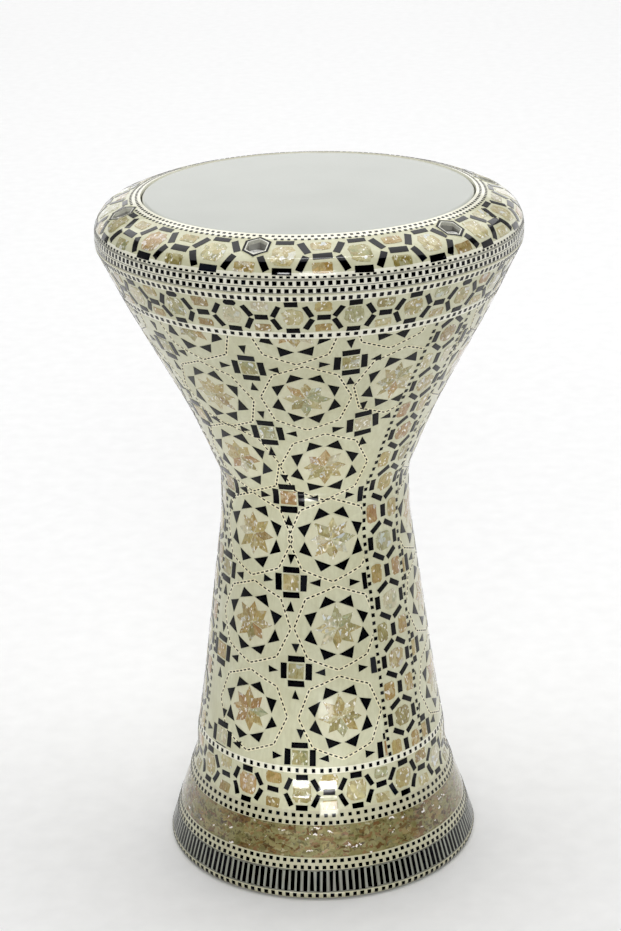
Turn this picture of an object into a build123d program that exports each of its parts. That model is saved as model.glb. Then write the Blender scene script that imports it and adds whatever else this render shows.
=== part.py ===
from build123d import *
import os

# Goblet drum (darbuka) of the large Egyptian kind: a cast aluminium goblet covered in an
# inlaid mosaic under clear resin, a film head on a hoop, and a cast tuning ring drawn down
# by six socket screws. Millimetres. Origin at the centre of the foot's bottom rim, +Z up
# the drum's axis, -Y to the player's front.

# ---------------------------------------------------------------- driving dimensions
INLAY = 2.2                 # mosaic and resin together, over the castings
WALL = 5.0                  # cast wall of the goblet

# Finished outline of the goblet, resin included: radius, height, rounding of that corner.
# The first corner lies below the floor, so that offsets of the outline still reach z = 0.
BODY_OUTLINE = [
    (102.2, -8.5, 0.0),
    (110.6, 3.0, 4.0),
    (101.6, 31.7, 300.0),
    (89.4, 66.8, 14.0),
    (88.3, 83.4, 60.0),
    (82.8, 116.3, 400.0),
    (65.4, 248.0, 120.0),
    (64.8, 280.5, 30.0),
    (85.1, 329.8, 250.0),
    (124.1, 404.0, 400.0),
    (142.6, 443.2, 0.0),
]
RIM_Z = 443.0               # top of the goblet's shoulder
SEAM = 1.0                  # open seam between the goblet and the tuning ring

# Heights of the mosaic bands, from the foot up
Z_FOOT_EDGE = 0.6
Z_BARS = 5.6
Z_FOOT_DOTS = 20.6
Z_CHIPS = 28.8
Z_DOUBLE_DOTS = 49.8
Z_NECK_FRIEZE = 59.6
Z_NECK_DOTS = 85.8
Z_PANELS = 90.4
Z_BELL_DOTS = 410.6
Z_BELL_FRIEZE = 415.6
Z_RIM_DOTS = 438.4

# Upright mosaic strips that part the field into three panels
STRIP_WIDTH = 31.5
STRIP_ANGLES = {"front_right": 44.0, "front_left": -82.0, "rear": 161.0}

# Bearing edge that carries the head
EDGE_R_IN = 104.6
EDGE_R_OUT = 109.2
EDGE_TOP_Z = 472.35
SHOULDER_UNDER_Z = 435.0
BOSS_R = 6.4
BOSS_Z = 426.0

# Film head and its hoop
FILM = 0.35
FILM_TOP_Z = 473.0
HOOP_R_IN = 111.0
HOOP_R_OUT = 117.0
HOOP_Z0 = 451.0
HOOP_Z1 = 463.1

# Tuning ring
RING_R = 142.5
RING_R_IN = 111.0
RING_TOP_Z = 473.5
RING_CORNER_Z = 462.5
RING_ROUND = 18.0
RING_CREST_R = 119.0        # the top flattens out from here to the film
RING_CREST_Z = 471.6
RING_CREST_ROUND = 40.0
LIP_Z = 463.4               # underside of the lip that holds the hoop down
LIP_R = 118.0
Z_RING_FRIEZE = 457.2
R_RING_INNER = 117.2

# Tuning screws, M6 socket cap
SCREWS = 6
SCREW_CIRCLE = 125.0
SCREW_FIRST = -15.0
SCREW_R = 3.0
SCREW_LEN = 30.0
HEAD_R = 5.0
HEAD_H = 6.0
SOCKET_AF = 5.0
RUNNING_FIT = 0.05
POCKET_AF = 12.4            # hexagonal well in the ring
POCKET_FLOOR_Z = 458.5
FRAME_AF_OUT = 17.4
WASHER_R = 5.7
WASHER_T = 1.2


# ---------------------------------------------------------------- outline geometry
def offset_outline(outline, depth):
    """Parallel outline, depth further in towards the axis, as corners and roundings."""
    moved = []
    for (r0, z0, _), (r1, z1, _) in zip(outline, outline[1:]):
        run = Vector(r1 - r0, z1 - z0).normalized()
        inward = Vector(-run.Y, run.X)
        moved.append((Vector(r0, z0) + inward * depth, run))
    last = Vector(outline[-1][0], outline[-1][1])
    end = last + Vector(-moved[-1][1].Y, moved[-1][1].X) * depth
    corners = [(moved[0][0].X, moved[0][0].Y, 0.0)]
    for (p, u), (q, v), corner in zip(moved, moved[1:], outline[1:]):
        turn = u.X * v.Y - u.Y * v.X
        along = ((q.X - p.X) * v.Y - (q.Y - p.Y) * v.X) / turn
        meet = p + u * along
        rounding = corner[2] - depth if turn > 0 else corner[2] + depth
        corners.append((meet.X, meet.Y, max(rounding, 0.6)))
    corners.append((end.X, end.Y, 0.0))
    return corners


def draw_outline(outline):
    """The outline as one line of straight runs and tangent arcs."""
    points = [(r, z) for r, z, _ in outline]
    return FilletPolyline(*points, radius=[c[2] for c in outline[1:-1]])


def angle_of(name):
    """Turn about Z that takes +X to the given bearing, measured from the front (-Y) to +X."""
    return STRIP_ANGLES[name] - 90.0


SKIN = offset_outline(BODY_OUTLINE, INLAY)
INNER = offset_outline(BODY_OUTLINE, INLAY + WALL)
SCREW_START = SCREW_FIRST - 90.0


# ---------------------------------------------------------------- goblet casting
def solid_section(outline, z0, z1):
    """Half section of everything inside an outline, between two heights."""
    with BuildSketch(Plane.XZ) as section:
        with BuildLine():
            side = draw_outline(outline)
            Line(side @ 1, (0, (side @ 1).Y))
            Line((0, (side @ 1).Y), (0, (side @ 0).Y))
            Line((0, (side @ 0).Y), side @ 0)
        make_face()
        with Locations((0, z0)):
            Rectangle(160, z1 - z0, align=(Align.MIN, Align.MIN), mode=Mode.INTERSECT)
    return section.sketch


with BuildPart() as shell_casting:
    add(solid_section(SKIN, 0, RIM_Z))
    revolve(axis=Axis.Z)
    add(solid_section(INNER, 0, SHOULDER_UNDER_Z))
    revolve(axis=Axis.Z, mode=Mode.SUBTRACT)
    with BuildSketch(Plane.XY.offset(SHOULDER_UNDER_Z)):
        Circle(EDGE_R_IN)
    extrude(amount=60, mode=Mode.SUBTRACT)
    # wall of the bearing edge, chamfered inside and rounded outside
    with BuildSketch(Plane.XZ):
        with BuildLine():
            FilletPolyline(
                (EDGE_R_OUT, RIM_Z),
                (EDGE_R_OUT, EDGE_TOP_Z),
                (EDGE_R_OUT - 2.6, EDGE_TOP_Z),
                (EDGE_R_IN, EDGE_TOP_Z - 5),
                (EDGE_R_IN, RIM_Z),
                radius=[1.2, 0.4, 0.4],
            )
            Line((EDGE_R_IN, RIM_Z), (EDGE_R_OUT, RIM_Z))
        make_face()
    revolve(axis=Axis.Z)
    # bosses for the six screws, under the shoulder
    with BuildSketch(Plane.XY.offset(BOSS_Z)):
        with PolarLocations(SCREW_CIRCLE, SCREWS, start_angle=SCREW_START):
            Circle(BOSS_R)
    extrude(amount=SHOULDER_UNDER_Z - BOSS_Z + 1)
    with BuildSketch(Plane.XY.offset(BOSS_Z)):
        with PolarLocations(SCREW_CIRCLE, SCREWS, start_angle=SCREW_START):
            Circle(SCREW_R + RUNNING_FIT)
    extrude(amount=RIM_Z - BOSS_Z + 5, mode=Mode.SUBTRACT)
shell_casting.part.label = "shell_casting"


# ---------------------------------------------------------------- mosaic on the goblet
def inlay_section(z0, z1):
    """Cross-section of the mosaic layer between two heights."""
    with BuildSketch(Plane.XZ) as section:
        with BuildLine():
            outer = draw_outline(BODY_OUTLINE)
            inner = draw_outline(SKIN)
            Line(outer @ 1, inner @ 1)
            Line(inner @ 0, outer @ 0)
        make_face()
        with Locations((0, z0)):
            Rectangle(160, z1 - z0, align=(Align.MIN, Align.MIN), mode=Mode.INTERSECT)
    return section.sketch


def inlay_band(label, z0, z1):
    """One closed band of mosaic around the goblet."""
    with BuildPart() as band:
        add(inlay_section(z0, z1))
        revolve(axis=Axis.Z)
    band.part.label = label
    return band.part


bands = [
    inlay_band("foot_edge_inlay", Z_FOOT_EDGE, Z_BARS),
    inlay_band("foot_bar_band", Z_BARS, Z_FOOT_DOTS),
    inlay_band("foot_dot_band", Z_FOOT_DOTS, Z_CHIPS),
    inlay_band("crushed_shell_band", Z_CHIPS, Z_DOUBLE_DOTS),
    inlay_band("neck_dot_band", Z_DOUBLE_DOTS, Z_NECK_FRIEZE),
    inlay_band("neck_frieze", Z_NECK_FRIEZE, Z_NECK_DOTS),
    inlay_band("panel_foot_line", Z_NECK_DOTS, Z_PANELS),
    inlay_band("panel_head_line", Z_BELL_DOTS, Z_BELL_FRIEZE),
    inlay_band("bell_frieze", Z_BELL_FRIEZE, Z_RIM_DOTS),
    inlay_band("rim_dot_band", Z_RIM_DOTS, RIM_Z),
]

field = inlay_band("field", Z_PANELS, Z_BELL_DOTS)


def upright_strip(name):
    """Mosaic strip of constant width that climbs the goblet at one bearing."""
    with BuildPart() as strip:
        add(field)
        with BuildSketch(Plane.XY.offset(Z_PANELS - 5).rotated((0, 0, angle_of(name)))):
            Rectangle(170, STRIP_WIDTH, align=(Align.MIN, Align.CENTER))
        extrude(amount=Z_BELL_DOTS - Z_PANELS + 10, mode=Mode.INTERSECT)
    strip.part.label = f"{name}_strip"
    return strip.part


strips = [upright_strip(name) for name in STRIP_ANGLES]


def mosaic_panel(name, first, last):
    """Field between two strips: the wedge from one bearing to the next, less the strips."""
    with BuildPart() as panel:
        add(field)
        for strip_name in STRIP_ANGLES:
            with BuildSketch(Plane.XY.offset(Z_PANELS - 5).rotated((0, 0, angle_of(strip_name)))):
                Rectangle(170, STRIP_WIDTH, align=(Align.MIN, Align.CENTER))
            extrude(amount=Z_BELL_DOTS - Z_PANELS + 10, mode=Mode.SUBTRACT)
        with BuildSketch(Plane.XY.offset(Z_PANELS - 5).rotated((0, 0, first))):
            with BuildLine():
                far = 420
                Line((0, 0), (far, 0))
                ThreePointArc(
                    (far, 0),
                    Vector(far, 0).rotate(Axis.Z, (last - first) / 2),
                    Vector(far, 0).rotate(Axis.Z, last - first),
                )
                Line(Vector(far, 0).rotate(Axis.Z, last - first), (0, 0))
            make_face()
        extrude(amount=Z_BELL_DOTS - Z_PANELS + 10, mode=Mode.INTERSECT)
    panel.part.label = f"{name}_panel"
    return panel.part


panels = [
    mosaic_panel("front", angle_of("front_left"), angle_of("front_right")),
    mosaic_panel("right", angle_of("front_right"), angle_of("rear")),
    mosaic_panel("left", angle_of("rear"), angle_of("front_left") + 360.0),
]


# ---------------------------------------------------------------- tuning ring
RING_OUTLINE = [
    (RING_R, RIM_Z + SEAM, 0.0),
    (RING_R, RING_CORNER_Z, RING_ROUND),
    (RING_CREST_R, RING_CREST_Z, RING_CREST_ROUND),
    (RING_R_IN, RING_TOP_Z, 0.0),
]
RING_SKIN = offset_outline(RING_OUTLINE, INLAY)


def screw_wells(flat, floor):
    """Hexagonal prisms over the screws, a corner pointing at the drum's axis."""
    with BuildPart() as wells:
        with BuildSketch(Plane.XY.offset(floor)):
            with PolarLocations(SCREW_CIRCLE, SCREWS, start_angle=SCREW_START):
                RegularPolygon(flat / 2, 6, major_radius=False)
        extrude(amount=30)
    return wells.part


with BuildPart() as tuning_ring_casting:
    with BuildSketch(Plane.XZ):
        with BuildLine():
            top = draw_outline(RING_SKIN)
            lip_top = (top @ 1).Y
            Line(top @ 1, (RING_R_IN - 1, lip_top))
            Line((RING_R_IN - 1, lip_top), (RING_R_IN - 1, RIM_Z + SEAM))
            Line((RING_R_IN - 1, RIM_Z + SEAM), top @ 0)
        make_face()
        with Locations((RING_R_IN, RIM_Z)):
            Rectangle(20, 60, align=(Align.MAX, Align.MIN), mode=Mode.SUBTRACT)
        # seat for the hoop, under the lip
        with Locations((LIP_R, LIP_Z)):
            Rectangle(20, 40, align=(Align.MAX, Align.MAX), mode=Mode.SUBTRACT)
        # relief cast into the underside
        with BuildLine():
            Polyline(
                (121.5, 440),
                (121.5, 456.5),
                (131.0, 456.5),
                (137.0, 451.0),
                (137.0, 440),
                (121.5, 440),
            )
        make_face(mode=Mode.SUBTRACT)
    revolve(axis=Axis.Z)
    # pillars that carry the screws through the relief
    with BuildSketch(Plane.XY.offset(RIM_Z + SEAM)):
        with PolarLocations(SCREW_CIRCLE, SCREWS, start_angle=SCREW_START):
            Circle(6.8)
    extrude(amount=POCKET_FLOOR_Z - RIM_Z - SEAM)
    add(screw_wells(POCKET_AF, POCKET_FLOOR_Z), mode=Mode.SUBTRACT)
    with BuildSketch(Plane.XY.offset(RIM_Z - 5)):
        with PolarLocations(SCREW_CIRCLE, SCREWS, start_angle=SCREW_START):
            Circle(SCREW_R + 0.3)
    extrude(amount=40, mode=Mode.SUBTRACT)
tuning_ring_casting.part.label = "tuning_ring_casting"


def ring_inlay(z0, z1, r0, r1):
    """Part of the ring's mosaic layer between two heights and two radii."""
    with BuildSketch(Plane.XZ) as section:
        with BuildLine():
            outer = draw_outline(RING_OUTLINE)
            inner = draw_outline(RING_SKIN)
            Line(outer @ 1, inner @ 1)
            Line(inner @ 0, outer @ 0)
        make_face()
        with Locations((r0, z0)):
            Rectangle(r1 - r0, z1 - z0, align=(Align.MIN, Align.MIN), mode=Mode.INTERSECT)
    with BuildPart() as layer:
        add(section.sketch)
        revolve(axis=Axis.Z)
    return layer.part


with BuildPart() as ring_dot_band:
    add(ring_inlay(RIM_Z + SEAM, Z_RING_FRIEZE, 120, 150))
ring_dot_band.part.label = "ring_dot_band"

with BuildPart() as ring_inner_rows:
    add(ring_inlay(460, 480, RING_R_IN, R_RING_INNER))
    add(screw_wells(FRAME_AF_OUT, POCKET_FLOOR_Z), mode=Mode.SUBTRACT)
ring_inner_rows.part.label = "ring_inner_rows"

ring_field = ring_inlay(Z_RING_FRIEZE, 480, R_RING_INNER, 150)

with BuildPart() as ring_frieze:
    add(ring_field)
    add(screw_wells(FRAME_AF_OUT, POCKET_FLOOR_Z), mode=Mode.SUBTRACT)
ring_frieze.part.label = "ring_frieze"

with BuildPart() as screw_well_frames:
    add(ring_inlay(Z_RING_FRIEZE, 480, RING_R_IN, 150))
    add(screw_wells(FRAME_AF_OUT, POCKET_FLOOR_Z), mode=Mode.INTERSECT)
    add(screw_wells(POCKET_AF, POCKET_FLOOR_Z), mode=Mode.SUBTRACT)
screw_well_frames.part.label = "screw_well_frames"

with BuildPart() as screw_washers:
    with BuildSketch(Plane.XY.offset(POCKET_FLOOR_Z)):
        with PolarLocations(SCREW_CIRCLE, SCREWS, start_angle=SCREW_START):
            Circle(WASHER_R)
            Circle(SCREW_R + 0.2, mode=Mode.SUBTRACT)
    extrude(amount=WASHER_T)
screw_washers.part.label = "screw_washers"


# ---------------------------------------------------------------- tuning screws
def tuning_screw(number):
    """Socket cap screw, standing on its washer with its tip in the goblet's boss."""
    seat = POCKET_FLOOR_Z + WASHER_T
    bearing = SCREW_START + (number - 1) * 360.0 / SCREWS
    centre = Vector(SCREW_CIRCLE, 0).rotate(Axis.Z, bearing)
    with BuildPart() as screw:
        with BuildSketch(Plane.XY.offset(seat - SCREW_LEN)):
            with Locations(centre):
                Circle(SCREW_R)
        extrude(amount=SCREW_LEN)
        tip = screw.faces().sort_by(Axis.Z)[0].edges()
        chamfer(tip, 0.8)
        with BuildSketch(Plane.XY.offset(seat)):
            with Locations(centre):
                Circle(HEAD_R)
        extrude(amount=HEAD_H)
        rim = screw.faces().sort_by(Axis.Z)[-1].edges()
        chamfer(rim, 0.5)
        with BuildSketch(Plane.XY.offset(seat + HEAD_H)):
            with Locations(centre):
                RegularPolygon(SOCKET_AF / 2, 6, major_radius=False)
        extrude(amount=-3.2, mode=Mode.SUBTRACT)
    screw.part.label = f"tuning_screw_{number}"
    return screw.part


screws = [tuning_screw(number) for number in range(1, SCREWS + 1)]


# ---------------------------------------------------------------- head: film, hoop and its resin
FILM_OUTLINE = [
    (114.05, 455.0, 0.0),
    (114.05, 460.4, 1.0),
    (EDGE_R_OUT + 0.3 + FILM, 461.8, 0.8),
    (EDGE_R_OUT + 0.3 + FILM, FILM_TOP_Z, 1.9),
    (0.0, FILM_TOP_Z, 0.0),
]

with BuildPart() as head_film:
    with BuildSketch(Plane.XZ):
        with BuildLine():
            above = draw_outline(FILM_OUTLINE)
            below = draw_outline(offset_outline(FILM_OUTLINE, FILM))
            Line(above @ 1, below @ 1)
            Line(below @ 0, above @ 0)
        make_face()
    revolve(axis=Axis.Z)
head_film.part.label = "head_film"

with BuildPart() as head_hoop:
    with BuildSketch(Plane.XZ):
        with Locations((HOOP_R_IN, HOOP_Z0)):
            Rectangle(HOOP_R_OUT - HOOP_R_IN, HOOP_Z1 - HOOP_Z0, align=(Align.MIN, Align.MIN))
        with Locations((HOOP_R_IN, 458.0)):
            Rectangle(4.0, 20, align=(Align.MIN, Align.MIN), mode=Mode.SUBTRACT)
        with Locations((HOOP_R_IN + 1.2, HOOP_Z0 + 1.5)):
            Rectangle(3.6, 30, align=(Align.MIN, Align.MIN), mode=Mode.SUBTRACT)
    revolve(axis=Axis.Z)
head_hoop.part.label = "head_hoop"

with BuildPart() as hoop_resin:
    with BuildSketch(Plane.XZ):
        with Locations((HOOP_R_IN + 1.2, HOOP_Z0 + 1.5)):
            Rectangle(3.6, 5.3, align=(Align.MIN, Align.MIN))
    revolve(axis=Axis.Z)
    add(head_film.part, mode=Mode.SUBTRACT)
hoop_resin.part.label = "hoop_resin"


# ---------------------------------------------------------------- write one file per piece
pieces = [shell_casting.part]
pieces += bands + strips + panels
pieces += [
    tuning_ring_casting.part,
    ring_dot_band.part,
    ring_frieze.part,
    ring_inner_rows.part,
    screw_well_frames.part,
    screw_washers.part,
]
pieces += screws
pieces += [head_film.part, head_hoop.part, hoop_resin.part]

os.makedirs("parts", exist_ok=True)
for piece in pieces:
    export_step(piece, f"parts/{piece.label}.step")
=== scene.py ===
from math import atan2, ceil, cos, degrees, hypot, radians, sin, sqrt, tan

import bpy
import numpy as np
from mathutils import Matrix, Vector


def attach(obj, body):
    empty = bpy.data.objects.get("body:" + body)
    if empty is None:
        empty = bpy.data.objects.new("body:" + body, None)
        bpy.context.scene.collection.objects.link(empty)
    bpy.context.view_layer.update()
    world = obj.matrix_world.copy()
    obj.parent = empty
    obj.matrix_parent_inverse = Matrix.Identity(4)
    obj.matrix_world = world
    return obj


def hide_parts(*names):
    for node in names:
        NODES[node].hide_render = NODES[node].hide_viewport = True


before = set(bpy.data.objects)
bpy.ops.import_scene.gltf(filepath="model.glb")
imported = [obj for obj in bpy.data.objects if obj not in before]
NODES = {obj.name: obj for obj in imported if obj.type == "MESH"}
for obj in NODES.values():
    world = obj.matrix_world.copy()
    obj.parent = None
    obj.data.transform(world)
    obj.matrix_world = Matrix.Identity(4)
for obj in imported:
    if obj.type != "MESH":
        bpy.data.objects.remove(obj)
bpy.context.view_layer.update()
scene = bpy.context.scene

# Everything below is worked out in millimetres and degrees and placed in metres.
# A bearing is an angle from the front (-Y) towards +X; s is arc length up an outline.
MM = 0.001

# ---- outlines
# radius, height, rounding of that corner
GOBLET_OUTLINE = [
    (102.2, -8.5, 0.0),
    (110.6, 3.0, 4.0),
    (101.6, 31.7, 300.0),
    (89.4, 66.8, 14.0),
    (88.3, 83.4, 60.0),
    (82.8, 116.3, 400.0),
    (65.4, 248.0, 120.0),
    (64.8, 280.5, 30.0),
    (85.1, 329.8, 250.0),
    (124.1, 404.0, 400.0),
    (142.6, 443.2, 0.0),
]
RING_OUTLINE = [(142.5, 444.0, 0.0), (142.5, 462.5, 18.0), (119.0, 471.6, 40.0), (111.0, 473.5, 0.0)]
OUTLINE_STEP = 0.2  # between the points that an outline is read by

SCREW_BEARINGS = [-15.0 + 60.0 * k for k in range(6)]
SCREW_CIRCLE = 125.0
WELL_FRAME_AF = 17.4


class Skin:
    """A surface of revolution, read by arc length up its outline."""

    def __init__(self, corners, step=OUTLINE_STEP):
        points, tangents = [], []

        def add(p, t):
            points.append(p)
            tangents.append(t)

        start = np.array(corners[0][:2])
        for i in range(1, len(corners)):
            corner = np.array(corners[i][:2])
            run = (corner - start) / np.linalg.norm(corner - start)
            rounding = corners[i][2]
            if i == len(corners) - 1 or rounding == 0:
                stop = corner
            else:
                after = np.array(corners[i + 1][:2]) - corner
                after = after / np.linalg.norm(after)
                turn = atan2(run[0] * after[1] - run[1] * after[0], run @ after)
                cut = rounding * tan(abs(turn) / 2)
                stop = corner - run * cut
            length = np.linalg.norm(stop - start)
            for k in range(int(length / step) + 1):
                add(start + run * min(k * step, length), run)
            add(stop, run)
            start = stop
            if i < len(corners) - 1 and rounding > 0:
                side = 1.0 if turn > 0 else -1.0
                centre = stop + side * rounding * np.array([-run[1], run[0]])
                n = max(2, int(rounding * abs(turn) / step))
                for k in range(1, n + 1):
                    a = turn * k / n
                    c, q = cos(a), sin(a)
                    t = np.array([c * run[0] - q * run[1], q * run[0] + c * run[1]])
                    add(centre - side * rounding * np.array([-t[1], t[0]]), t)
                start = points[-1]
        p, t = np.array(points), np.array(tangents)
        gap = np.linalg.norm(np.diff(p, axis=0), axis=1)
        keep = np.concatenate([[True], gap > 1e-9])
        p, t = p[keep], t[keep]
        self.s = np.concatenate([[0], np.cumsum(np.linalg.norm(np.diff(p, axis=0), axis=1))])
        self.r, self.z = p[:, 0], p[:, 1]
        self.nr, self.nz = t[:, 1], -t[:, 0]

    def at(self, s):
        return [np.interp(s, self.s, v) for v in (self.r, self.z, self.nr, self.nz)]

    def radius(self, s):
        return np.interp(s, self.s, self.r)

    def s_at(self, z):
        return float(np.interp(z, self.z, self.s))

    def s_at_radius(self, r):
        return float(np.interp(-r, -self.r, self.s))

    def place(self, bearing, s, lift):
        """Points and outward normals at a bearing, an arc length and a height over the skin."""
        r, z, nr, nz = self.at(s)
        a = np.radians(bearing)
        rr = r + lift * nr
        points = np.stack([rr * np.sin(a), -rr * np.cos(a), z + lift * nz], -1) * MM
        normals = np.stack([nr * np.sin(a), -nr * np.cos(a), nz], -1)
        return points, normals


GOBLET = Skin(GOBLET_OUTLINE)
RING = Skin(RING_OUTLINE)

# Heights over the finished surface, so that nothing stands proud of it
GROUND_LIFT = -0.22
FIELD_LIFT = -0.14
LINE_LIFT = -0.09
TILE_LIFT = 0.0
TILE_ROOT = -0.5
GROUND_THICK = 1.95
GRAIN = 2.4  # largest facet of a tile
SMALLEST = 0.12  # smaller tiles, in square millimetres, are left out


def add_object(name, data):
    obj = bpy.data.objects.new(name, data)
    scene.collection.objects.link(obj)
    return obj


def make_mesh(name, verts, groups, material, seeds=None):
    """A mesh from groups of faces: (corner indices, one normal for each corner)."""
    corners = np.concatenate([faces.ravel() for faces, _ in groups])
    sizes = np.concatenate([np.full(len(faces), faces.shape[1]) for faces, _ in groups])
    normals = np.concatenate([n.reshape(-1, 3) for _, n in groups])
    mesh = bpy.data.meshes.new(name)
    mesh.vertices.add(len(verts))
    mesh.vertices.foreach_set("co", np.asarray(verts, dtype=np.float32).ravel())
    mesh.loops.add(len(corners))
    mesh.loops.foreach_set("vertex_index", corners.astype(np.int32))
    mesh.polygons.add(len(sizes))
    starts = np.concatenate([[0], np.cumsum(sizes)[:-1]])
    mesh.polygons.foreach_set("loop_start", starts.astype(np.int32))
    mesh.update(calc_edges=True)
    mesh.shade_smooth()
    if seeds is not None:
        attribute = mesh.attributes.new("seed", "FLOAT_VECTOR", "POINT")
        attribute.data.foreach_set("vector", np.asarray(seeds, dtype=np.float32).ravel())
    mesh.normals_split_custom_set(normals.tolist())
    mesh.materials.append(material)
    return add_object(name, mesh)


def flat(verts, faces):
    """Face normals, one for each corner."""
    p = verts[faces]
    if faces.shape[1] == 4:
        across = np.cross(p[:, 2] - p[:, 0], p[:, 3] - p[:, 1])
    else:
        across = np.cross(p[:, 1] - p[:, 0], p[:, 2] - p[:, 0])
    length = np.linalg.norm(across, axis=1, keepdims=True)
    across = across / np.where(length > 0, length, 1.0)
    return np.repeat(across[:, None, :], faces.shape[1], axis=1)


def lathe(name, skin, s0, s1, material, step=1.0, around=480):
    """A closed ring of ground under the tiles, between two arc lengths."""
    rows = max(2, int(ceil((s1 - s0) / step)) + 1)
    arcs, bearings = np.meshgrid(np.linspace(s0, s1, rows), np.arange(around) * 360.0 / around, indexing="ij")
    top, normals = skin.place(bearings.ravel(), arcs.ravel(), GROUND_LIFT)
    low, _ = skin.place(bearings.ravel(), arcs.ravel(), GROUND_LIFT - GROUND_THICK)
    count = rows * around
    verts = np.concatenate([top, low])
    i, j = (v.ravel() for v in np.meshgrid(np.arange(rows - 1), np.arange(around), indexing="ij"))
    k = (j + 1) % around
    outer = np.stack([i * around + j, i * around + k, (i + 1) * around + k, (i + 1) * around + j], 1)
    inner = outer[:, ::-1] + count
    j = np.arange(around)
    k = (j + 1) % around
    foot = np.stack([j, count + j, count + k, k], 1)
    head = foot[:, ::-1] + (rows - 1) * around
    groups = [(outer, normals[outer]), (inner, -normals[inner - count])]
    groups += [(faces, flat(verts, faces)) for faces in (foot, head)]
    return make_mesh(name, verts, groups, material)


class Layer:
    """Flat inlay tiles laid on a skin, gathered into one piece."""

    patterns = {}

    def __init__(self, name, look, skin, body, lift=TILE_LIFT, seed=1):
        self.name, self.body, self.slot, self.material = name, body, "mosaic_ground", MAT[look]
        self.skin, self.lift = skin, lift
        self.random = np.random.default_rng(seed)
        self.coords, self.seeds, self.faces, self.count = [], [], [], 0

    def pattern(self, n, loops):
        """Corner indices of a tile with n edge points and that many loops inside it."""
        if (n, loops) not in self.patterns:
            i = np.arange(n)
            j = (i + 1) % n
            bands = [np.stack([k * n + i, k * n + j, (k + 1) * n + j, (k + 1) * n + i], 1) for k in range(loops)]
            low, top_mid, low_mid = (loops + 1) * n, (loops + 2) * n, (loops + 2) * n + 1
            fan = np.stack([loops * n + i, loops * n + j, np.full(n, top_mid)], 1)
            sides = np.stack([j, i, low + i, low + j], 1)
            under = np.stack([low + j, low + i, np.full(n, low_mid)], 1)
            bands = np.concatenate(bands) if bands else np.zeros((0, 4), dtype=int)
            self.patterns[(n, loops)] = (bands, fan, sides, under)
        return self.patterns[(n, loops)]

    def tile(self, outline, seed=None):
        """One tile from its convex outline, corners (bearing, s)."""
        pts = np.array(outline, dtype=float)
        if len(pts) < 3:
            return
        middle = pts.mean(axis=0)
        scale = np.array([radians(1) * float(self.skin.radius(middle[1])), 1.0])
        spread = (pts - middle) * scale
        after = np.roll(spread, -1, axis=0)
        area = 0.5 * float((spread[:, 0] * after[:, 1] - after[:, 0] * spread[:, 1]).sum())
        if abs(area) < SMALLEST:
            return
        if area < 0:
            spread = spread[::-1]
            after = np.roll(spread, -1, axis=0)
        edge = []
        for a, b in zip(spread, after):
            n = max(1, int(ceil(hypot(b[0] - a[0], b[1] - a[1]) / GRAIN)))
            edge.append(a + (b - a) * (np.arange(n) / n)[:, None])
        edge = np.concatenate(edge)
        n = len(edge)
        reach = np.hypot(edge[:, 0], edge[:, 1]).max()
        loops = int(ceil(reach / GRAIN)) - 1 if reach > 0.8 * GRAIN else 0
        if seed is None:
            seed = self.random.random(3)
        low = (loops + 1) * n
        block = np.zeros((low + n + 2, 3))
        for k in range(loops + 1):
            block[k * n:(k + 1) * n, :2] = edge * (1 - k / (loops + 1.0))
        block[:, 2] = self.lift
        block[low:low + n, :2] = edge
        block[low:low + n, 2] = block[-1, 2] = TILE_ROOT
        block[:, :2] = block[:, :2] / scale + middle
        self.coords.append(block)
        self.seeds.append(np.tile(seed, (len(block), 1)))
        self.faces.append([part + self.count for part in self.pattern(n, loops)])
        self.count += len(block)

    def build(self):
        coords = np.concatenate(self.coords)
        verts, normals = self.skin.place(coords[:, 0], coords[:, 1], coords[:, 2])
        bands, fans, sides, unders = (np.concatenate(part) for part in zip(*self.faces))
        groups = [(faces, normals[faces]) for faces in (bands, fans)]
        groups += [(faces, flat(verts, faces)) for faces in (sides, unders)]
        obj = make_mesh(self.name, verts, groups, self.material, np.concatenate(self.seeds))
        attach(obj, self.body)
        return obj


# ---- material helpers
def linear(r, g, b):
    """A shader colour from 8-bit sRGB."""
    def one(v):
        v = v / 255.0
        return v / 12.92 if v <= 0.04045 else ((v + 0.055) / 1.055) ** 2.4
    return (one(r), one(g), one(b), 1.0)


def shades(*stops):
    """Stops of a colour ramp from (place, r, g, b)."""
    return [(place, linear(*colour)) for place, *colour in stops]


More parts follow.
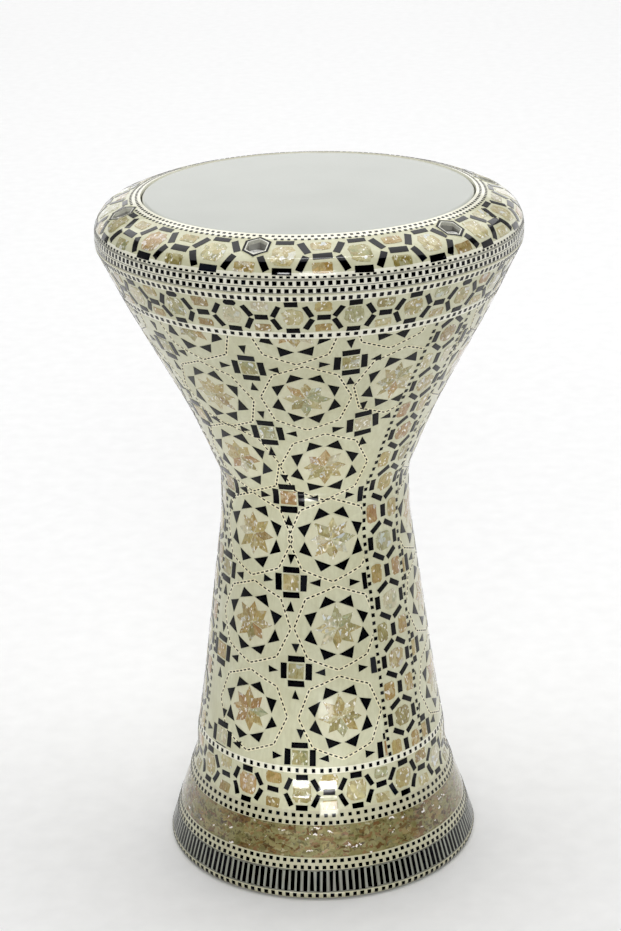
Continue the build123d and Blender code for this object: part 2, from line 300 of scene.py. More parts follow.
class Nodes:
    """Short way to wire a material."""

    def __init__(self, name):
        self.material = bpy.data.materials.new(name)
        self.material.use_nodes = True
        self.tree = self.material.node_tree
        self.tree.nodes.clear()
        out = self.tree.nodes.new("ShaderNodeOutputMaterial")
        self.shader = self.tree.nodes.new("ShaderNodeBsdfPrincipled")
        self.link(self.shader.outputs[0], out.inputs["Surface"])

    def link(self, a, b):
        self.tree.links.new(a, b)

    def put(self, socket, value):
        if isinstance(value, bpy.types.NodeSocket):
            self.link(value, socket)
        else:
            socket.default_value = value

    def node(self, kind, **settings):
        made = self.tree.nodes.new(kind)
        for key, value in settings.items():
            setattr(made, key, value)
        return made

    def position(self):
        return self.node("ShaderNodeTexCoord").outputs["Object"]

    def split(self, kind, vector):
        made = self.node("ShaderNodeSeparate" + kind)
        self.link(vector, made.inputs[0])
        return made.outputs

    def seed(self):
        """The random vector of a tile, and its three numbers."""
        attribute = self.node("ShaderNodeAttribute", attribute_name="seed", attribute_type="GEOMETRY")
        vector = attribute.outputs["Vector"]
        return vector, self.split("XYZ", vector)

    def vector(self, operation, a, b=None, scale=None):
        made = self.node("ShaderNodeVectorMath", operation=operation)
        self.put(made.inputs[0], a)
        if b is not None:
            self.put(made.inputs[1], b)
        if scale is not None:
            self.put(made.inputs["Scale"], scale)
        return made.outputs[0]

    def math(self, operation, a, b=0.0, c=0.0, clamp=False):
        made = self.node("ShaderNodeMath", operation=operation, use_clamp=clamp)
        for socket, value in zip(made.inputs, (a, b, c)):
            self.put(socket, value)
        return made.outputs[0]

    def times(self, a, b):
        return self.math("MULTIPLY", a, b)

    def noise_node(self, vector, scale, detail=3.0, roughness=0.5, distortion=0.0):
        made = self.node("ShaderNodeTexNoise")
        self.put(made.inputs["Vector"], vector)
        values = {"Scale": scale, "Detail": detail, "Roughness": roughness, "Distortion": distortion}
        for key, value in values.items():
            made.inputs[key].default_value = value
        return made

    def noise(self, *settings):
        return self.noise_node(*settings).outputs["Fac"]

    def warped(self, vector, place, scale, detail, amount):
        """The vector, moved by a coloured noise that is read at a place."""
        colour = self.noise_node(place, scale, detail).outputs["Color"]
        return self.vector("ADD", vector, self.vector("SCALE", colour, scale=amount))

    def cells(self, vector, scale, feature="F1"):
        made = self.node("ShaderNodeTexVoronoi", feature=feature)
        self.put(made.inputs["Vector"], vector)
        made.inputs["Scale"].default_value = scale
        return made

    def tones(self, cells):
        """Three random numbers for each cell."""
        return self.split("Color", cells.outputs["Color"])

    def ramp(self, factor, stops, interpolation="LINEAR"):
        made = self.node("ShaderNodeValToRGB")
        ramp = made.color_ramp
        ramp.interpolation = interpolation
        while len(ramp.elements) < len(stops):
            ramp.elements.new(0.5)
        for element, (at, colour) in zip(ramp.elements, stops):
            element.position = at
            element.color = colour
        self.put(made.inputs[0], factor)
        return made.outputs[0]

    def mix(self, factor, a, b):
        made = self.node("ShaderNodeMix", data_type="RGBA")
        self.put(made.inputs["Factor"], factor)
        colours = [s for s in made.inputs if s.type == "RGBA"]
        self.put(colours[0], a)
        self.put(colours[1], b)
        return [s for s in made.outputs if s.type == "RGBA"][0]

    def range(self, value, a0, a1, b0=0.0, b1=1.0):
        made = self.node("ShaderNodeMapRange")
        for socket, v in zip(made.inputs, (value, a0, a1, b0, b1)):
            self.put(socket, v)
        return made.outputs[0]

    def bump(self, height, strength, distance):
        made = self.node("ShaderNodeBump")
        made.inputs["Strength"].default_value = strength
        made.inputs["Distance"].default_value = distance
        self.put(made.inputs["Height"], height)
        return made.outputs[0]

    def set(self, **values):
        for key, value in values.items():
            self.put(self.shader.inputs[key.replace("_", " ")], value)


def resin(n, ior=1.5, weight=1.0):
    """The polished clear resin over every inlay."""
    n.set(Coat_Weight=weight, Coat_Roughness=0.045, Coat_IOR=ior)


def tilted_normal(n, direction, amount):
    """Surface normal leaned by a vector that changes from chip to chip."""
    geometry = n.node("ShaderNodeNewGeometry").outputs["Normal"]
    centred = n.vector("SUBTRACT", direction, (0.5, 0.5, 0.5))
    leaned = n.vector("SCALE", centred, scale=amount)
    return n.vector("NORMALIZE", n.vector("ADD", geometry, leaned))


def ground_material(name, *colours):
    """Cream plate between the tiles, with the faint cloud and grain of shell."""
    pale, warm, dark = (linear(*colour) for colour in colours)
    n = Nodes(name)
    p = n.position()
    cloud = n.noise(p, 38.0, 4.0, 0.6)
    grain = n.noise(n.vector("MULTIPLY", p, (1.0, 1.0, 0.22)), 420.0, 3.0, 0.6)
    plates = n.tones(n.cells(p, 95.0))
    base = n.mix(n.range(cloud, 0.34, 0.66), pale, warm)
    base = n.mix(n.range(grain, 0.35, 0.75, 0.0, 0.4), base, dark)
    base = n.mix(n.range(plates[0], 0.0, 1.0, 0.0, 0.22), base, dark)
    n.set(Base_Color=base, Roughness=n.range(cloud, 0.3, 0.7, 0.36, 0.5))
    n.set(Normal=n.bump(grain, 0.12, 0.0004))
    resin(n, weight=0.72)
    return n.material


def black_material(name, coat_ior):
    """Dyed horn tiles: nearly black, a few worn greyer."""
    n = Nodes(name)
    _, seed = n.seed()
    cloud = n.noise(n.position(), 900.0, 3.0, 0.6)
    worn = n.range(seed[0], 0.9, 1.0)
    base = n.ramp(cloud, [(0.3, (0.0025, 0.0025, 0.003, 1)), (0.8, (0.008, 0.008, 0.010, 1))])
    base = n.mix(n.times(worn, 0.5), base, (0.035, 0.038, 0.045, 1))
    n.set(Base_Color=base, Roughness=n.range(cloud, 0.3, 0.7, 0.42, 0.6), IOR=1.2)
    resin(n, ior=coat_ior)
    return n.material


GOLD = linear(158, 136, 72)
STRAW = linear(176, 165, 106)
AMBER = linear(142, 110, 48)
OLIVE = linear(122, 119, 62)
ROSE = linear(164, 138, 90)
GREEN = linear(142, 150, 108)
MILK = linear(208, 204, 168)
ICE = linear(222, 228, 228)


def pearl_material(name, stops, kinds, chip_scale, painted_glint_share):
    """Shell chips under resin: a tile is one kind of shell, its chips lean every way, and a few chips and fine specks
    are painted near white as glints.
    """
    n = Nodes(name)
    p = n.position()
    vec, seed = n.seed()
    shifted = n.vector("ADD", p, n.vector("SCALE", vec, scale=0.37))
    bent = n.warped(shifted, shifted, 160.0, 2.0, 0.006)
    chips = n.cells(bent, chip_scale)
    tone = n.tones(chips)
    streak = n.noise(n.vector("MULTIPLY", shifted, (1.0, 1.0, 0.18)), 900.0, 3.0, 0.65, 0.6)
    pick = n.math("ADD", n.times(tone[0], 0.62), n.times(seed[0], 0.5))
    pick = n.math("ADD", pick, n.times(n.math("SUBTRACT", streak, 0.5), 0.35), clamp=True)
    base = n.mix(0.5, n.ramp(pick, stops), n.ramp(seed[1], kinds, "CONSTANT"))
    base = n.mix(n.range(streak, 0.52, 0.78, 0.0, 0.45), base, linear(226, 219, 180))
    base = n.mix(n.range(streak, 0.2, 0.42, 0.5, 0.0), base, linear(98, 82, 38))
    # painted glints: a share of whole chips is mixed towards a bluish white
    painted_glints = n.range(tone[1], 1.0 - painted_glint_share, 1.0 - painted_glint_share + 0.06)
    base = n.mix(n.times(painted_glints, 0.85), base, ICE)
    # painted glints: fine upright specks of near white
    bright = n.tones(n.cells(n.vector("MULTIPLY", bent, (1.0, 1.0, 0.4)), 1000.0))
    base = n.mix(n.range(bright[0], 0.91, 0.94, 0.0, 0.8), base, linear(250, 248, 238))
    n.set(Base_Color=base, Metallic=0.15, Roughness=n.range(streak, 0.3, 0.7, 0.24, 0.46))
    n.set(Normal=tilted_normal(n, chips.outputs["Color"], 0.55))
    resin(n)
    return n.material


PEARL_STOPS = [(0.0, OLIVE), (0.16, GREEN), (0.3, STRAW), (0.46, GOLD), (0.58, MILK), (0.7, AMBER),
               (0.8, STRAW), (0.9, ROSE), (1.0, ICE)]
GOLDEN_STOPS = [(0.0, OLIVE), (0.25, GOLD), (0.45, STRAW), (0.65, AMBER), (0.85, GOLD), (1.0, MILK)]
PEARL_KINDS = shades((0.0, 160, 140, 78), (0.26, 190, 182, 136), (0.5, 132, 130, 72), (0.62, 206, 203, 178),
                     (0.8, 172, 126, 64), (0.9, 148, 158, 122))
GOLDEN_KINDS = shades((0.0, 160, 128, 54), (0.3, 176, 156, 88), (0.5, 128, 98, 40), (0.68, 112, 112, 52),
                      (0.84, 152, 98, 46))


def crushed_material():
    """Foot band: small broken chips of many kinds of shell, strewn in an olive bed, with sparse painted glints."""
    n = Nodes("crushed_shell")
    p = n.position()
    bent = n.warped(n.vector("MULTIPLY", p, (0.8, 0.8, 1.6)), p, 210.0, 3.0, 0.012)
    base = n.ramp(n.noise(p, 170.0, 4.0, 0.6), shades((0.3, 114, 107, 60), (0.5, 132, 126, 80), (0.75, 148, 143, 100)))
    large = shades((0.0, 88, 76, 36), (0.35, 112, 84, 42), (0.6, 134, 110, 64), (0.8, 152, 140, 92), (1.0, 84, 82, 38))
    small = shades((0.0, 66, 52, 24), (0.3, 116, 82, 46), (0.55, 142, 114, 76), (0.8, 98, 96, 52), (1.0, 164, 156, 116))
    for scale, share, stops in ((150.0, 0.50, large), (300.0, 0.58, small)):
        chips = n.cells(bent, scale)
        tone = n.tones(chips)
        edge = n.cells(bent, scale, feature="DISTANCE_TO_EDGE")
        inside = n.range(edge.outputs["Distance"], 0.03, 0.10)
        shown = n.times(n.range(tone[1], share, share + 0.02), inside)
        base = n.mix(shown, base, n.ramp(tone[0], stops))
    bright = n.tones(n.cells(bent, 520.0))
    # painted glints: sparse near-white specks; the dark specks after them are the band's own
    base = n.mix(n.range(bright[0], 0.984, 0.99, 0.0, 0.9), base, linear(250, 244, 240))
    base = n.mix(n.range(bright[1], 0.88, 0.93, 0.0, 0.65), base, linear(56, 44, 22))
    n.set(Base_Color=base, Metallic=0.15, Roughness=n.range(bright[2], 0.0, 1.0, 0.28, 0.5))
    n.set(Normal=tilted_normal(n, chips.outputs["Color"], 0.5))
    resin(n)
    return n.material


def metal_material(name, colour, dark, roughness, scale, stretch=(1, 1, 1), bump=0.15, metallic=1.0):
    n = Nodes(name)
    p = n.position()
    grain = n.noise(n.vector("MULTIPLY", p, stretch), scale, 4.0, 0.6)
    wide = n.noise(p, 45.0)
    base = n.mix(n.range(wide, 0.35, 0.7, 0.0, 0.6), linear(*colour), linear(*dark))
    n.set(Base_Color=base, Metallic=metallic, Roughness=n.range(grain, 0.3, 0.7, roughness - 0.07, roughness + 0.09))
    n.set(Normal=n.bump(grain, bump, 0.0004))
    return n.material


def film_material():
    """White coated polyester, faintly cloudy."""
    n = Nodes("film_coated")
    p = n.position()
    cloud = n.noise(p, 14.0)
    fine = n.noise(p, 1500.0, 2.0)
    base = n.mix(n.range(cloud, 0.3, 0.7), linear(179, 182, 175), linear(187, 190, 183))
    n.set(Base_Color=base, Roughness=n.range(fine, 0.3, 0.7, 0.30, 0.38))
    n.set(Coat_Weight=0.4, Coat_Roughness=0.12)
    n.set(Normal=n.bump(fine, 0.05, 0.0001))
    return n.material


OUTLINE_FROM, OUTLINE_TO = 0.00685, 0.00835  # half widths across the flats, in metres


def frame_material():
    """Hexagon round a screw well: a bright line at the well's edge, a black outline, then ground."""
    n = Nodes("well_outline")
    p = n.position()
    x, y, _ = n.split("XYZ", p)
    # fold the six wells onto one, then measure the distance across its flats
    angle = n.math("ARCTAN2", x, n.times(y, -1.0))
    step = radians(60.0)
    shifted = n.math("ADD", angle, radians(15.0 + 30.0 + 360.0))
    folded = n.math("SUBTRACT", n.math("MODULO", shifted, step), step / 2)
    radius = n.math("SQRT", n.math("ADD", n.math("POWER", x, 2.0), n.math("POWER", y, 2.0)))
    along = n.math("SUBTRACT", n.times(radius, n.math("COSINE", folded)), SCREW_CIRCLE * MM)
    across = n.math("ABSOLUTE", n.times(radius, n.math("SINE", folded)))
    diagonal = n.math("ADD", n.times(n.math("ABSOLUTE", along), cos(radians(30))),
                      n.times(across, sin(radians(30))))
    reach = n.math("MAXIMUM", across, diagonal)
    cloud = n.noise(p, 600.0)
    dark = n.ramp(cloud, [(0.3, (0.004, 0.004, 0.005, 1)), (0.8, (0.012, 0.012, 0.013, 1))])
    bright = n.ramp(cloud, shades((0.3, 196, 196, 184), (0.8, 232, 231, 220)))
    inner = n.math("LESS_THAN", reach, OUTLINE_FROM)
    base = n.mix(inner, dark, bright)
    base = n.mix(n.math("GREATER_THAN", reach, OUTLINE_TO), base, linear(206, 205, 172))
    n.set(Base_Color=base, Roughness=0.35, Metallic=n.times(inner, 0.4), Specular_IOR_Level=0.2)
    resin(n, weight=0.12)
    return n.material


def cloudy_material(name, scale, stops, roughness):
    n = Nodes(name)
    n.set(Base_Color=n.ramp(n.noise(n.position(), scale), stops), Roughness=roughness)
    return n.material


MAT = {
    "ground": ground_material("mosaic_ground", (216, 216, 187), (206, 205, 172), (178, 174, 138)),
    "pale": ground_material("pale_ground", (251, 250, 235), (244, 242, 222), (220, 216, 189)),
    "foot_pale": ground_material("foot_ground", (206, 204, 178), (198, 194, 164), (172, 166, 134)),
    "slate": ground_material("bar_ground", (126, 127, 116), (114, 114, 102), (90, 89, 76)),
    "white": ground_material("white_shell", (250, 250, 240), (244, 243, 228), (226, 222, 200)),
    "field": ground_material("medallion_field", (222, 221, 194), (213, 210, 178), (194, 188, 152)),
    "line": ground_material("bone_line", (244, 240, 214), (236, 230, 194), (214, 204, 160)),
    "grey": ground_material("grey_bars", (168, 171, 160), (150, 152, 140), (118, 118, 104)),
    "black": black_material("black_horn", 1.28),
    "ringblack": black_material("ring_horn", 1.38),
    "pearl": pearl_material("shell_pearl", PEARL_STOPS, PEARL_KINDS, 300.0, 0.07),
    "golden": pearl_material("golden_shell", GOLDEN_STOPS, GOLDEN_KINDS, 320.0, 0.04),
    "crushed": crushed_material(),
    "cast": metal_material("cast_aluminium", (168, 168, 166), (140, 140, 138), 0.45, 260.0, bump=0.3),
    "ringcast": metal_material("ring_aluminium", (176, 175, 170), (138, 137, 132), 0.34, 300.0,
                               bump=0.25, metallic=0.55),
    "steel": metal_material("screw_steel", (246, 246, 244), (214, 214, 213), 0.3, 500.0, metallic=0.45),
    # the washers' steel is coloured dark as painted shade at the bottom of the screw wells
    "washer": metal_material("washer_steel", (84, 84, 82), (58, 58, 56), 0.4, 500.0, metallic=0.5),
    "hoop": metal_material("hoop_aluminium", (190, 190, 188), (165, 165, 163), 0.3, 400.0, (1, 1, 0.2)),
    "film": film_material(),
    "frame": frame_material(),
    "bed": cloudy_material("hoop_resin", 120.0, shades((0.3, 206, 200, 176), (0.8, 226, 221, 202)), 0.35),
}


# ---- tile shapes
def apart(a, b):
    """From bearing b to bearing a, the short way round."""
    return (a - b + 180.0) % 360.0 - 180.0


def at(skin, bearing, s, shape, turn=0.0):
    """Corners in millimetres (across, up) round a point on the skin, as (bearing, s)."""
    c, q = cos(radians(turn)), sin(radians(turn))
    out = []
    for u, v in shape:
        x, y = c * u - q * v, q * u + c * v
        out.append((bearing + degrees(x / float(skin.radius(s + y))), s + y))
    return out


def bar(width, height):
    return [(-width / 2, -height / 2), (width / 2, -height / 2), (width / 2, height / 2), (-width / 2, height / 2)]


def cut_bar(width, height, cut):
    """Rectangle with its corners taken off."""
    w, h = width / 2, height / 2
    return [(-w + cut, -h), (w - cut, -h), (w, -h + cut), (w, h - cut),
            (w - cut, h), (-w + cut, h), (-w, h - cut), (-w, -h + cut)]


def clip(outline, value, limit, keep_above):
    """The part of a convex outline where value(corner) is over or under a limit."""
    out = []
    for a, b in zip(outline, outline[1:] + outline[:1]):
        va, vb = value(a) - limit, value(b) - limit
        if not keep_above:
            va, vb = -va, -vb
        if va >= 0:
            out.append(a)
        if (va >= 0) != (vb >= 0):
            t = va / (va - vb)
            out.append((a[0] + (b[0] - a[0]) * t, a[1] + (b[1] - a[1]) * t))
    return out


WOBBLE = 0.35  # how far a corner cut by hand is off, in millimetres


def by_hand(rng):
    """What a hand leaves uneven: a measure, the corners of a shape, or its corners and edges."""
    def jitter(amount):
        return amount * (rng.random() - 0.5)

    def wobbly(shape, amount=WOBBLE):
        return [(u + jitter(amount), v + jitter(amount)) for u, v in shape]

    def ragged(shape, amount):
        pairs = zip(shape, shape[1:] + shape[:1])
        return wobbly([p for a, b in pairs for p in (a, ((a[0] + b[0]) / 2, (a[1] + b[1]) / 2))], amount)

    return jitter, wobbly, ragged


def tile_layers(name, seed, skin=GOBLET, body="goblet"):
    """The three layers of a pattern: dyed horn, pale shell and golden shell."""
    looks = {"black": "black" if skin is GOBLET else "ringblack", "pearl": "pearl", "gold": "golden"}
    return [Layer(name + "_" + end, looks[end], skin, body, seed=seed + k) for k, end in enumerate(looks)]


def rows(name, look, seed, places, skin=GOBLET, body="goblet", wobble=0.12):
    """Rows of evenly spaced small tiles round the skin: count, arc length, width, height, first bearing."""
    piece = Layer(name, look, skin, body, seed=seed)
    jitter, wobbly, _ = by_hand(piece.random)
    for count, s, width, height, first in places:
        for k in range(count):
            bearing = first + 360.0 * k / count
            w = width * (1 + jitter(wobble))
            h = height * (1 + jitter(wobble))
            shape = wobbly(bar(w, h), 0.06 * height)
            piece.tile(at(skin, bearing + jitter(0.1), s, shape, jitter(2.0)))
    piece.build()


# ---- bands
S = GOBLET.s_at
BANDS = [  # node, lowest and highest z, ground
    ("foot_edge_inlay", 0.6, 5.6, "foot_pale"),
    ("foot_bar_band", 5.6, 20.6, "slate"),
    ("foot_dot_band", 20.6, 28.8, "foot_pale"),
    ("crushed_shell_band", 28.8, 49.8, "crushed"),
    ("neck_dot_band", 49.8, 59.6, "foot_pale"),
    ("neck_frieze", 59.6, 85.8, "ground"),
    ("panel_foot_line", 85.8, 90.4, "pale"),
    ("panel_head_line", 410.6, 415.6, "pale"),
    ("bell_frieze", 415.6, 438.4, "ground"),
    ("rim_dot_band", 438.4, 443.0, "pale"),
]


def finish_ground(piece, node, body):
    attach(piece, body)
    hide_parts(node)


for node, z0, z1, look in BANDS:
    piece = lathe(node + "_ground", GOBLET, S(z0), S(z1), MAT[look])
    if node == "crushed_shell_band":
        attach(piece, "goblet")
        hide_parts(node)
    else:
        finish_ground(piece, node, "goblet")

field = lathe("field_ground", GOBLET, S(90.4), S(410.6), MAT["ground"], step=3.6)
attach(field, "goblet")
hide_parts("front_panel", "right_panel", "left_panel", "front_right_strip", "front_left_strip", "rear_strip")


rows("foot_edge_dots", "black", 11, [(133, S(3.3), 2.7, 3.2, 0.0)])
rows("foot_bars_black", "black", 12, [(152, S(13.1), 2.45, 13.8, 0.0)], wobble=0.08)
rows("foot_bars_grey", "grey", 13, [(152, S(13.1), 1.4, 13.6, 180.0 / 152)], wobble=0.1)
rows("foot_dots", "black", 14, [(130, S(22.3), 2.5, 2.5, 0.0), (130, S(26.6), 2.5, 2.4, 180.0 / 130)])
rows("neck_dots", "black", 15, [(118, S(51.5), 2.4, 2.5, 0.0), (104, S(56.3), 2.5, 2.5, 1.2)])
rows("panel_foot_dots", "black", 16, [(96, S(88.0), 2.2, 2.8, 0.0)])
rows("panel_head_dots", "black", 17, [(144, S(413.1), 2.6, 2.6, 0.0)])
rows("rim_dots", "black", 18, [(180, S(440.6), 2.5, 3.0, 0.0)])


# ---- friezes
def frieze(name, skin, body, centres, s_mid, parts, seed, wells=()):
    """A chain of hexagons round the skin, at the bearings given. parts gives sizes and places in millimetres."""
    dark, shell, gold = tile_layers(name, seed, skin, body)
    rng = np.random.default_rng(seed + 3)
    jitter, wobbly, ragged = by_hand(rng)
    pitch = 360.0 / len(centres)

    def deg(u, s):
        return degrees(u / float(skin.radius(s)))

    for c, after in zip(centres, centres[1:] + [centres[0] + 360.0]):
        link = (c + after) / 2
        # bars over and under the hexagon
        for dv, size in ((parts["top"], parts["top_bar"]), (-parts["bottom"], parts["bottom_bar"])):
            shape = bar(*size)
            if dv > 0 and rng.random() < parts.get("rounded", 0.0):
                shape = cut_bar(size[0], size[1], size[1] * 0.36)
            dark.tile(at(skin, c + deg(jitter(0.6), s_mid), s_mid + dv + jitter(0.4), wobbly(shape), jitter(5)))
        # four leaning bars
        for side in (-1, 1):
            for up in (-1, 1):
                dv = parts["lean_up"] if up > 0 else -parts["lean_down"]
                s = s_mid + dv
                shape = at(skin, c + side * deg(parts["lean_side"], s), s, wobbly(bar(*parts["lean_bar"])),
                           side * up * parts["lean_angle"] + jitter(5))
                for well in wells:
                    offset = apart(c, well)
                    if abs(offset) < pitch and up > 0 and side * offset < 0:
                        w = float(skin.radius(s))
                        shape = [] if offset > 0 else clip(
                            shape, lambda q: abs(apart(q[0], well)) * radians(1) * w, WELL_FRAME_AF / 2 + 0.3, True)
                dark.tile(shape)
        # pearls
        wide, high = parts["pearl"]
        shell.tile(at(skin, c + deg(jitter(0.6), s_mid), s_mid + parts["pearl_rise"] + jitter(0.6),
                      ragged(cut_bar(wide + jitter(1.6), high + jitter(1.6), wide * 0.22), 1.3), jitter(4)))
        wide, high = parts["low_pearl"]
        low = at(skin, link + deg(jitter(0.8), s_mid), s_mid - parts["low_pearl_at"] + jitter(0.4),
                 ragged(cut_bar(wide + jitter(1.0), high, 0.7), 0.6), jitter(4))
        (gold if rng.random() < 0.75 else shell).tile(low)
        if any(abs(apart(link, well)) < 4.0 for well in wells):
            continue
        dark.tile(at(skin, link + jitter(0.4), s_mid + parts["link_drop"] + jitter(0.5),
                     wobbly(bar(*parts["link_bar"])), jitter(12)))
        wide, high = parts["high_pearl"]
        top_pearl = at(skin, link + deg(jitter(0.8), s_mid), s_mid + parts["high_pearl_at"] + jitter(0.4),
                       ragged(cut_bar(wide + jitter(1.2), high, 1.2), 0.9), jitter(5))
        (gold if rng.random() < 0.35 else shell).tile(top_pearl)
    for part in (dark, shell, gold):
        part.build()


NECK = dict(top=11.1, bottom=11.3, top_bar=(8.3, 4.2), bottom_bar=(8.1, 3.7), lean_up=5.5, lean_down=6.1,
            lean_side=9.6, lean_bar=(3.6, 9.4), lean_angle=26.0, pearl=(13.0, 14.8), pearl_rise=0.0,
            low_pearl=(10.4, 6.8), low_pearl_at=9.4, high_pearl=(11.0, 8.2), high_pearl_at=9.0,
            link_bar=(8.2, 4.1), link_drop=0.3)
frieze("neck_frieze", GOBLET, "goblet", [-62.0, -35.7, -9.1, 15.3, 39.4] + [64.0 + 26.0 * k for k in range(9)],
       0.5 * (S(59.6) + S(85.8)) - 0.5, NECK, 21)

BELL = dict(top=10.5, bottom=10.9, top_bar=(8.5, 4.1), bottom_bar=(8.5, 3.7), lean_up=4.5, lean_down=5.7,
            lean_side=10.2, lean_bar=(3.5, 9.4), lean_angle=29.0, pearl=(12.4, 12.6), pearl_rise=0.4,
            low_pearl=(10.8, 5.6), low_pearl_at=8.6, high_pearl=(11.2, 7.0), high_pearl_at=8.4,
            link_bar=(8.4, 4.1), link_drop=-0.3, rounded=0.4)
frieze("bell_frieze", GOBLET, "goblet", [-38.7, -21.2, -5.0, 11.5, 28.2] + [45.0 + 16.25 * k for k in range(17)],
       0.5 * (S(415.6) + S(438.4)), BELL, 31)

# ---- ring
Z_RING_FRIEZE = 457.2
CUTTER_Z = (440.0, 480.0)  # from below the ring to above it
RING_STEP = 0.8  # finer than the goblet's ground, as the ring is rounder
ring_bottom = lathe("ring_dots_ground", RING, 0.0, RING.s_at(Z_RING_FRIEZE), MAT["pale"], step=RING_STEP)
finish_ground(ring_bottom, "ring_dot_band", "tuning_ring")


def hexagon_cutter():
    """Six upright hexagonal prisms, one in each screw well, a corner of each towards the axis."""
    verts, faces = [], []
    corner = (WELL_FRAME_AF - 0.1) / sqrt(3)
    for bearing in SCREW_BEARINGS:
        a = radians(bearing)
        x, y = SCREW_CIRCLE * sin(a), -SCREW_CIRCLE * cos(a)
        outward = atan2(-cos(a), sin(a))
        start = len(verts)
        for z in CUTTER_Z:
            for k in range(6):
                t = outward + radians(60 * k)
                verts.append(((x + corner * cos(t)) * MM, (y + corner * sin(t)) * MM, z * MM))
        faces += [tuple(start + k for k in reversed(range(6))), tuple(start + 6 + k for k in range(6))]
        for k in range(6):
            j = (k + 1) % 6
            faces.append((start + k, start + j, start + 6 + j, start + 6 + k))
    mesh = bpy.data.meshes.new("cutter")
    mesh.from_pydata(verts, [], faces)
    return add_object("cutter", mesh)


def cut_wells(piece):
    """Opens the six wells in a ring of ground and gives it smooth normals again."""
    cutter = hexagon_cutter()
    modifier = piece.modifiers.new("wells", "BOOLEAN")
    modifier.operation, modifier.solver, modifier.object = "DIFFERENCE", "EXACT", cutter
    bpy.context.view_layer.update()
    evaluated = piece.evaluated_get(bpy.context.evaluated_depsgraph_get())
    mesh = bpy.data.meshes.new_from_object(evaluated)
    piece.modifiers.clear()
    old, piece.data = piece.data, mesh
    bpy.data.meshes.remove(old)
    bpy.data.objects.remove(cutter)
    mesh.shade_smooth()
    co = np.zeros(len(mesh.vertices) * 3)
    mesh.vertices.foreach_get("co", co)
    x, y, z = (co / MM).reshape(-1, 3).T
    _, _, nr, nz = RING.at(np.interp(z, RING.z, RING.s))
    r = np.hypot(x, y)
    smooth = np.stack([nr * x / r, nr * y / r, nz], -1)
    loops = [None] * len(mesh.loops)
    for polygon in mesh.polygons:
        n = np.array(polygon.normal)
        for i in polygon.loop_indices:
            v = mesh.loops[i].vertex_index
            d = float(smooth[v] @ n)
            loops[i] = smooth[v] if d > 0.85 else (-smooth[v] if d < -0.85 else n)
    mesh.normals_split_custom_set(loops)


S_INNER = RING.s_at_radius(117.2)
ring_top = lathe("ring_frieze_ground", RING, RING.s_at(Z_RING_FRIEZE), S_INNER, MAT["ground"], step=RING_STEP)
cut_wells(ring_top)
finish_ground(ring_top, "ring_frieze", "tuning_ring")
ring_inner = lathe("ring_inner_ground", RING, S_INNER, RING.s[-1], MAT["pale"], step=RING_STEP)
cut_wells(ring_inner)
finish_ground(ring_inner, "ring_inner_rows", "tuning_ring")

rows("ring_dots", "black", 41, [(184, 2.2, 2.7, 2.5, 0.0), (184, 6.9, 2.6, 2.7, 0.98), (200, 10.8, 2.2, 1.3, 0.0)],
     RING, "tuning_ring")
rows("ring_dots_white", "white", 43, [(184, 2.2, 1.7, 2.6, 180.0 / 184), (184, 6.9, 1.7, 2.7, 0.98 + 180.0 / 184)],
     RING, "tuning_ring")

lines = Layer("ring_lines", "black", RING, "tuning_ring", LINE_LIFT, 42)
LINE_HALF = 0.13
for s in (0.45, 4.45, 9.0, 9.6):
    for k in range(240):
        a, b = 1.5 * k, 1.5 * (k + 1)
        low, high = s - LINE_HALF, s + LINE_HALF
        lines.tile([(a, low), (b, low), (b, high), (a, high)], seed=(0.2, 0.5, 0.5))

RING_PARTS = dict(top=11.3, bottom=12.8, top_bar=(11.3, 3.9), bottom_bar=(12.1, 4.4), lean_up=5.7, lean_down=7.4,
                  lean_side=12.2, lean_bar=(4.5, 11.3), lean_angle=27.0, pearl=(14.4, 15.4), pearl_rise=-0.5,
                  low_pearl=(13.0, 6.8), low_pearl_at=10.3, high_pearl=(12.8, 7.2), high_pearl_at=8.0,
                  link_bar=(12.3, 4.9), link_drop=-2.0)
RING_HEXAGONS = [-69.0, -47.6, -26.4, -7.0, 13.7, 34.3, 52.8, 71.5, 92.5, 114.0, 135.0, 155.0, 175.0, 195.0,
                 215.0, 235.0, 255.0, 275.5]
frieze("ring_frieze", RING, "tuning_ring", RING_HEXAGONS, 26.9, RING_PARTS, 51, wells=SCREW_BEARINGS)

inner_dashes = Layer("ring_inner_dashes", "black", RING, "tuning_ring", seed=61)
WELL_CLEAR = WELL_FRAME_AF / 2 + 0.8
for s, height, first in ((42.3, 1.7, 0.0), (46.1, 1.6, 1.0)):
    r, rng = float(RING.radius(s)), inner_dashes.random
    out = abs(r - SCREW_CIRCLE)
    for k in range(176):
        bearing = first + 360.0 * k / 176
        along = radians(min(abs(apart(bearing, well)) for well in SCREW_BEARINGS)) * r
        if along < WELL_CLEAR and 0.866 * out + 0.5 * along < WELL_CLEAR:
            continue
        shape = bar(1.9 * (0.92 + 0.16 * rng.random()), height)
        inner_dashes.tile(at(RING, bearing, s, shape, 3 * (rng.random() - 0.5)))
inner_dashes.build()

# ---- strips
FRONT_RIGHT, FRONT_LEFT, REAR = 44.0, -82.0, 161.0  # bearings of the strips


def strip_line(bearing, s):
    """A strip's middle at an arc length: the front right one leans a little to the right over the bell."""
    lean = float(np.interp(s, [S(255.0), S(306.0)], [-0.6, 2.0])) if bearing == FRONT_RIGHT else 0.0
    return bearing + lean


S_FIELD0, S_FIELD1 = S(90.4), S(410.6)
BORDER = 15.9  # from a strip's middle to its dotted border
STRIP_EDGE = 17.7  # from a strip's middle to the panel beside it
HEX_PITCH = 42.5
STRIP_DOT, DOT_PITCH = 2.4, 5.6
SIDE_BAR, SIDE_BAR_AT = (4.0, 8.9), 11.3
LEAN_BAR, LEAN_BAR_AT, LEAN_ANGLE = (9.9, 3.6), (5.7, 10.4), 33.0
LINK_BAR = (4.2, 8.6)
SIDE_PEARL, SIDE_PEARL_AT = (8.4, 12.4), 9.6
HEX_PEARL = 13.2


